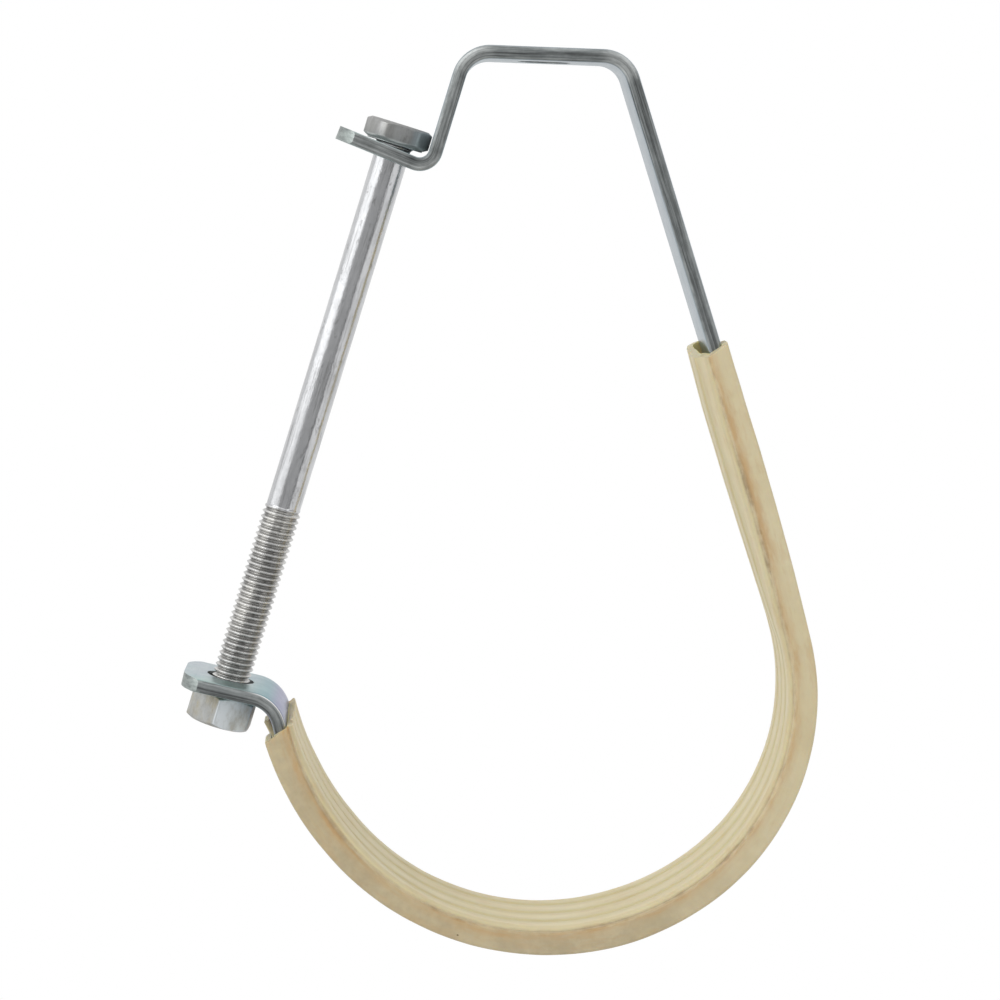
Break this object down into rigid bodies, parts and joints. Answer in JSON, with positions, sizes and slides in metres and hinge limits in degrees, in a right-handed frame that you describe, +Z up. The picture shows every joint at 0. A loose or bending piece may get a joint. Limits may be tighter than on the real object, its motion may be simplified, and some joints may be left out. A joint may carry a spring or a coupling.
{
  "type": "j pipe hanger",
  "caption": "J-shaped strap hanger for one pipe, with a rod hole in its top bar, a soft grooved lining round the jaw and a long side bolt that closes it.",
  "frame": {"origin": "centre of the rod hole in the bar's top face", "axes": "+Z up along the hanging rod, +X along the bar towards the long leg, the front faces -Y"},
  "size_m": [0.132, 0.028, 0.1873],
  "materials": {
    "strap": "satin clear zinc plate",
    "lining": "matt, cream",
    "side_bolt": "bright zinc plate",
    "hex_nut": "bright zinc plate, a little stained"
  },
  "bodies": {
    "hanger": {"strap": "strap", "lining": "lining"},
    "bolt": {"side_bolt": "side_bolt"},
    "nut": {"hex_nut": "hex_nut"}
  },
  "joints": [
    {"name": "bolt_turn", "type": "hinge", "parent": "hanger", "child": "bolt", "pos_m": [-0.03037, 0, -0.02083], "axis": [0.2624, 0, 0.965], "range_deg": [0, 1080]},
    {"name": "nut_run", "type": "slide", "parent": "hanger", "child": "nut", "axis": [-0.2624, 0, -0.965], "range_m": [0, 0.00375]}
  ],
  "couplings": [
    {"joint": "nut_run", "follows": "bolt_turn", "m_per_rad": 0.00019894}
  ]
}
